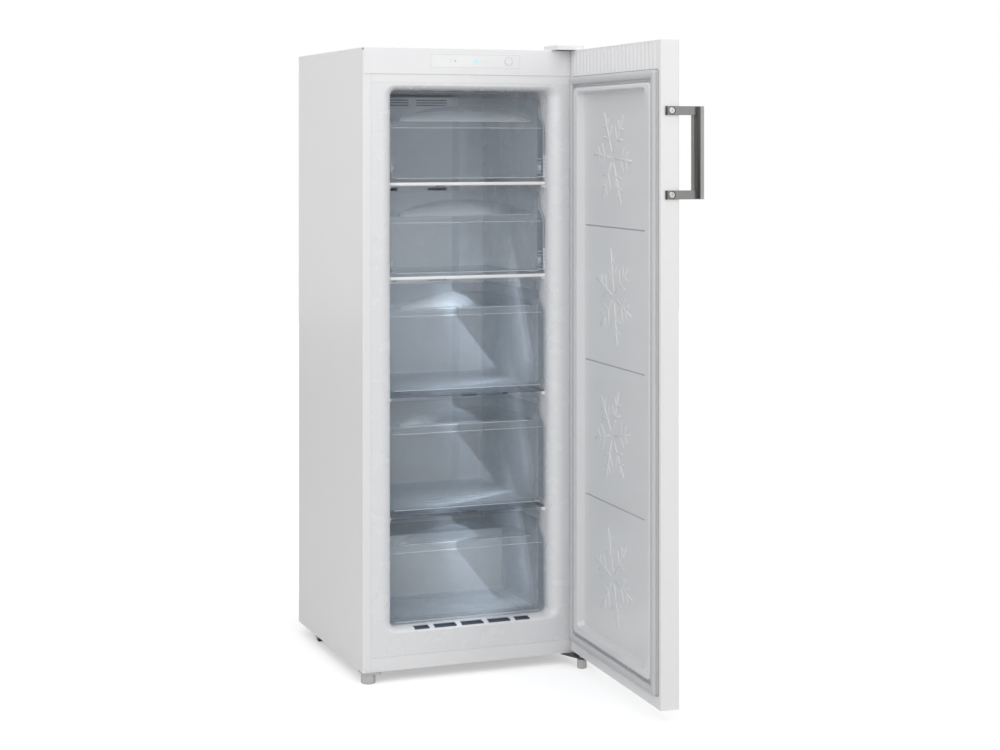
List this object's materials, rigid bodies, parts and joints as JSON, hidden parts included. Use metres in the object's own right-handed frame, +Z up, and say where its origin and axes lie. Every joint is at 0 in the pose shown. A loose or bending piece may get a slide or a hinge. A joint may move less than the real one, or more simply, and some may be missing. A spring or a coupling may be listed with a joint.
{
  "type": "upright freezer",
  "caption": "Tall white upright freezer standing with its door open, with tilting flaps, pull-out drawers and glass shelves inside, a bar handle and a small control panel above.",
  "frame": {"origin": "on the floor, at mid-width, directly below the plane of the cabinet's front flanges", "axes": "+X to the right seen from the front, +Y to the back, +Z up"},
  "size_m": [0.5834, 1.1015, 1.467],
  "materials": {
    "white_steel": "satin white paint on steel sheet",
    "white_plastic": "smooth white moulding",
    "lens_plastic": "smooth white display lens",
    "liner_plastic": "vacuum-formed white liner",
    "zinc_steel": "zinc-coated steel sheet",
    "dark_steel": "dark coated steel",
    "foam": "rigid insulation foam",
    "shelf_glass": "toughened clear glass",
    "front_plastic": "blue-grey half-clear moulding",
    "tub_plastic": "clear grey moulding",
    "clear_plastic": "clear moulding",
    "seal_rubber": "soft light grey seal",
    "black_rubber": "black rubber",
    "dark_plastic": "dark moulding",
    "foot_plastic": "light grey moulding",
    "handle_grey": "satin grey paint",
    "bright_steel": "bright plated steel",
    "coil_aluminium": "bare fins",
    "copper": "bare copper pipe",
    "board": "printed board"
  },
  "bodies": {
    "cabinet": {"side_panel_right": "white_steel", "side_panel_left": "white_steel", "top_panel": "white_plastic", "back_panel": "zinc_steel", "back_panel_screws": "zinc_steel", "base_shroud": "zinc_steel", "base_rails": "zinc_steel", "kick_plate": "white_steel", "cross_rail": "white_steel", "inner_liner": "liner_plastic", "insulation_foam": "foam", "control_housing": "white_plastic", "display_window": "lens_plastic", "display_board": "board", "evaporator_cover": "liner_plastic", "evaporator": "coil_aluminium", "fan_motor": "bright_steel", "flap_brackets": "clear_plastic", "shelf_glass_1": "shelf_glass", "shelf_glass_2": "shelf_glass", "shelf_glass_3": "shelf_glass", "shelf_glass_4": "shelf_glass", "shelf_trims": "white_plastic", "compressor": "dark_steel", "compressor_mounts": "black_rubber", "compressor_tray": "zinc_steel", "drip_tray": "foot_plastic", "terminal_box": "dark_plastic", "filter_drier": "copper", "refrigerant_pipes": "copper", "roller_axles": "zinc_steel", "foot_bracket": "zinc_steel", "lower_hinge_bracket": "dark_steel", "upper_hinge_bracket": "dark_steel", "hinge_cover": "white_plastic", "hinge_screws": "zinc_steel"},
    "door": {"door_shell": "white_steel", "door_top_cap": "white_plastic", "door_bottom_cap": "white_plastic", "door_foam": "foam", "door_liner": "liner_plastic", "door_gasket": "seal_rubber", "door_bushes": "dark_plastic", "handle_bar": "handle_grey", "handle_brackets": "handle_grey", "handle_screws": "bright_steel"},
    "flap_1": {"flap_1": "front_plastic"},
    "flap_2": {"flap_2": "front_plastic"},
    "drawer_3": {"drawer_3_front": "front_plastic", "drawer_3_tub": "tub_plastic"},
    "drawer_4": {"drawer_4_front": "front_plastic", "drawer_4_tub": "tub_plastic"},
    "drawer_5": {"drawer_5_front": "front_plastic", "drawer_5_tub": "tub_plastic"},
    "control_button": {"control_button": "white_plastic"},
    "foot_left": {"foot_left": "foot_plastic"},
    "foot_right": {"foot_right": "foot_plastic"},
    "roller_left": {"roller_left": "dark_plastic"},
    "roller_right": {"roller_right": "dark_plastic"},
    "fan": {"fan": "dark_plastic"}
  },
  "joints": [
    {"name": "door_hinge", "type": "hinge", "parent": "cabinet", "child": "door", "pos_m": [0.255, -0.023, 0.7], "axis": [0, 0, 1], "range_deg": [-87, 18]},
    {"name": "flap_1_hinge", "type": "hinge", "parent": "cabinet", "child": "flap_1", "pos_m": [0, 0.052, 1.177], "axis": [1, 0, 0], "range_deg": [0, 85]},
    {"name": "flap_2_hinge", "type": "hinge", "parent": "cabinet", "child": "flap_2", "pos_m": [0, 0.052, 0.9565], "axis": [1, 0, 0], "range_deg": [0, 85]},
    {"name": "drawer_3_slide", "type": "slide", "parent": "cabinet", "child": "drawer_3", "axis": [0, -1, 0], "range_m": [0, 0.3]},
    {"name": "drawer_4_slide", "type": "slide", "parent": "cabinet", "child": "drawer_4", "axis": [0, -1, 0], "range_m": [0, 0.3]},
    {"name": "drawer_5_slide", "type": "slide", "parent": "cabinet", "child": "drawer_5", "axis": [0, -1, 0], "range_m": [0, 0.3]},
    {"name": "button_press", "type": "slide", "parent": "cabinet", "child": "control_button", "axis": [0, 1, 0], "range_m": [0, 0.001], "stiffness_N_per_m": 400},
    {"name": "foot_left_height", "type": "slide", "parent": "cabinet", "child": "foot_left", "axis": [0, 0, 1], "range_m": [-0.01, 0]},
    {"name": "foot_right_height", "type": "slide", "parent": "cabinet", "child": "foot_right", "axis": [0, 0, 1], "range_m": [-0.01, 0]},
    {"name": "roller_left_spin", "type": "hinge", "parent": "cabinet", "child": "roller_left", "pos_m": [-0.247, 0.418, 0.016], "axis": [1, 0, 0], "continuous": true},
    {"name": "roller_right_spin", "type": "hinge", "parent": "cabinet", "child": "roller_right", "pos_m": [0.247, 0.418, 0.016], "axis": [1, 0, 0], "continuous": true},
    {"name": "fan_spin", "type": "hinge", "parent": "cabinet", "child": "fan", "pos_m": [0, 0.467, 1.262], "axis": [0, 1, 0], "continuous": true}
  ]
}
